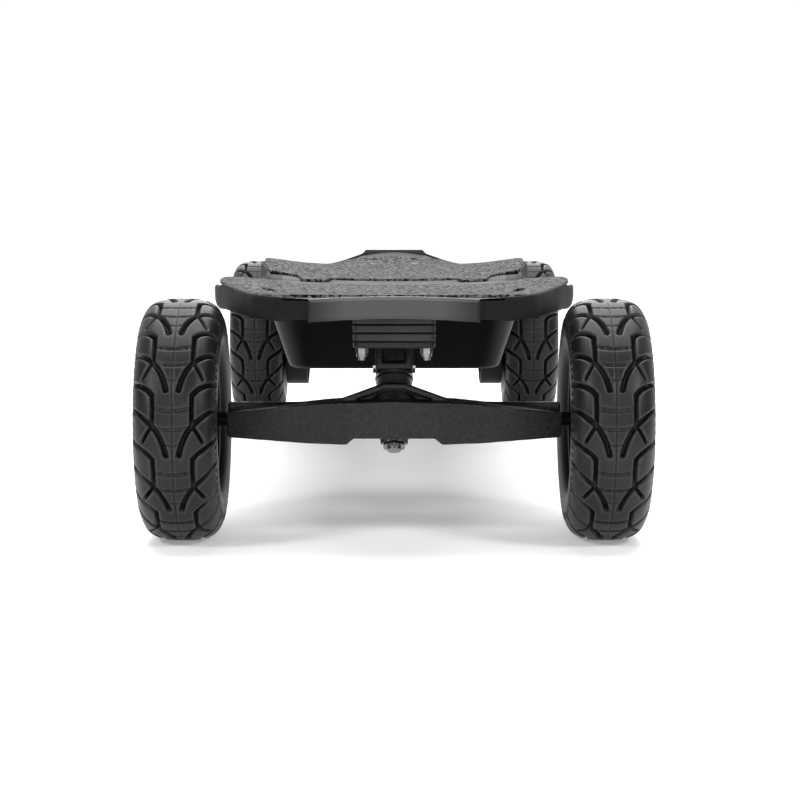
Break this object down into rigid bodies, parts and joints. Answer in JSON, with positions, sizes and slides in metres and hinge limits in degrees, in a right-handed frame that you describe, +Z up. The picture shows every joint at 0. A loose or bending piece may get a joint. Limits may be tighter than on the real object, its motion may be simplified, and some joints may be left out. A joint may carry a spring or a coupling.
{
  "type": "electric skateboard",
  "caption": "All-terrain electric skateboard with a dished deck, air tyres, sprung trucks, an under-deck battery tub and belt drive.",
  "frame": {"origin": "on the ground under the middle of the board", "axes": "+Z up, nose towards -Y, +X to the right seen from the nose"},
  "size_m": [0.363, 1.062, 0.185],
  "materials": {
    "deck_composite": "satin",
    "grip": "rough",
    "bumper_rubber": "matte",
    "tub_plastic": "matte",
    "cast_black": "satin",
    "pad_rubber": "matte",
    "zinc_steel": "satin",
    "steel": "satin",
    "bushing_urethane": "satin",
    "bronze": "satin",
    "tyre_rubber": "matte",
    "tube_butyl": "matte",
    "hub_plastic": "satin",
    "aluminium": "satin",
    "motor_black": "satin",
    "cover_plastic": "matte",
    "belt_rubber": "matte",
    "cell_wrap": "gloss",
    "circuit_board": "satin",
    "gasket_foam": "matte",
    "lead_sleeve": "matte",
    "port_nylon": "satin",
    "button_metal": "satin"
  },
  "bodies": {
    "board": {"deck": "deck_composite", "grip_tape": "grip", "end_bumpers": "bumper_rubber", "enclosure": "tub_plastic", "enclosure_gasket": "gasket_foam", "enclosure_screws": "steel", "battery_cells": "cell_wrap", "battery_management_board": "circuit_board", "speed_controller": "aluminium", "radio_receiver": "circuit_board", "charge_port": "port_nylon", "power_button_bezel": "port_nylon", "risers": "pad_rubber", "truck_base_plates": "cast_black", "truck_bolts": "zinc_steel", "truck_nuts": "zinc_steel", "kingpins": "zinc_steel", "kingpin_nuts": "zinc_steel", "kingpin_cross_pins": "steel", "bushings": "bushing_urethane", "bushing_washers": "steel", "pivot_bushes": "bronze", "motor_leads": "lead_sleeve", "lead_glands": "port_nylon"},
    "charge_cap": {"charge_port_cap": "pad_rubber"},
    "button": {"power_button": "button_metal"},
    "front_truck": {"front_hanger": "cast_black", "front_axles": "steel", "front_axle_nuts": "zinc_steel"},
    "rear_truck": {"rear_hanger": "cast_black", "rear_axles": "steel", "rear_axle_nuts": "zinc_steel", "left_motor_mount": "aluminium", "right_motor_mount": "aluminium", "left_motor": "motor_black", "right_motor": "motor_black", "left_belt": "belt_rubber", "right_belt": "belt_rubber", "left_belt_cover": "cover_plastic", "right_belt_cover": "cover_plastic"},
    "left_rotor": {"left_motor_pulley": "steel"},
    "right_rotor": {"right_motor_pulley": "steel"},
    "wheel_front_left": {"front_left_tyre": "tyre_rubber", "front_left_inner_tube": "tube_butyl", "front_left_hub": "hub_plastic", "front_left_bearings": "steel"},
    "wheel_front_right": {"front_right_tyre": "tyre_rubber", "front_right_inner_tube": "tube_butyl", "front_right_hub": "hub_plastic", "front_right_bearings": "steel"},
    "wheel_rear_left": {"rear_left_tyre": "tyre_rubber", "rear_left_inner_tube": "tube_butyl", "rear_left_hub": "hub_plastic", "rear_left_bearings": "steel", "left_wheel_pulley": "aluminium"},
    "wheel_rear_right": {"rear_right_tyre": "tyre_rubber", "rear_right_inner_tube": "tube_butyl", "rear_right_hub": "hub_plastic", "rear_right_bearings": "steel", "right_wheel_pulley": "aluminium"}
  },
  "joints": [
    {"name": "front_truck_lean", "type": "hinge", "parent": "board", "child": "front_truck", "pos_m": [0, -0.43, 0.097], "axis": [0, -0.5, -0.866], "range_deg": [-12, 12], "stiffness_Nm_per_rad": 90},
    {"name": "rear_truck_lean", "type": "hinge", "parent": "board", "child": "rear_truck", "pos_m": [0, 0.43, 0.097], "axis": [0, 0.5, -0.866], "range_deg": [-12, 12], "stiffness_Nm_per_rad": 90, "deforming": ["motor_leads"]},
    {"name": "front_left_wheel_spin", "type": "hinge", "parent": "front_truck", "child": "wheel_front_left", "pos_m": [-0.152, -0.43, 0.0875], "axis": [1, 0, 0], "continuous": true},
    {"name": "front_right_wheel_spin", "type": "hinge", "parent": "front_truck", "child": "wheel_front_right", "pos_m": [0.152, -0.43, 0.0875], "axis": [1, 0, 0], "continuous": true},
    {"name": "rear_left_wheel_spin", "type": "hinge", "parent": "rear_truck", "child": "wheel_rear_left", "pos_m": [-0.152, 0.43, 0.0875], "axis": [1, 0, 0], "continuous": true},
    {"name": "rear_right_wheel_spin", "type": "hinge", "parent": "rear_truck", "child": "wheel_rear_right", "pos_m": [0.152, 0.43, 0.0875], "axis": [1, 0, 0], "continuous": true},
    {"name": "left_motor_spin", "type": "hinge", "parent": "rear_truck", "child": "left_rotor", "pos_m": [-0.111, 0.498, 0.0875], "axis": [1, 0, 0], "continuous": true},
    {"name": "right_motor_spin", "type": "hinge", "parent": "rear_truck", "child": "right_rotor", "pos_m": [0.111, 0.498, 0.0875], "axis": [1, 0, 0], "continuous": true},
    {"name": "charge_cap_hinge", "type": "hinge", "parent": "board", "child": "charge_cap", "pos_m": [0.09749, 0.15, 0.14804], "axis": [0, -1, 0], "range_deg": [0, 110]},
    {"name": "power_button_press", "type": "slide", "parent": "board", "child": "button", "axis": [-0.9455, 0, 0.3256], "range_m": [0, 0.0015], "stiffness_N_per_m": 600}
  ],
  "couplings": [
    {"joint": "left_motor_spin", "follows": "rear_left_wheel_spin", "ratio": 3},
    {"joint": "right_motor_spin", "follows": "rear_right_wheel_spin", "ratio": 3}
  ]
}
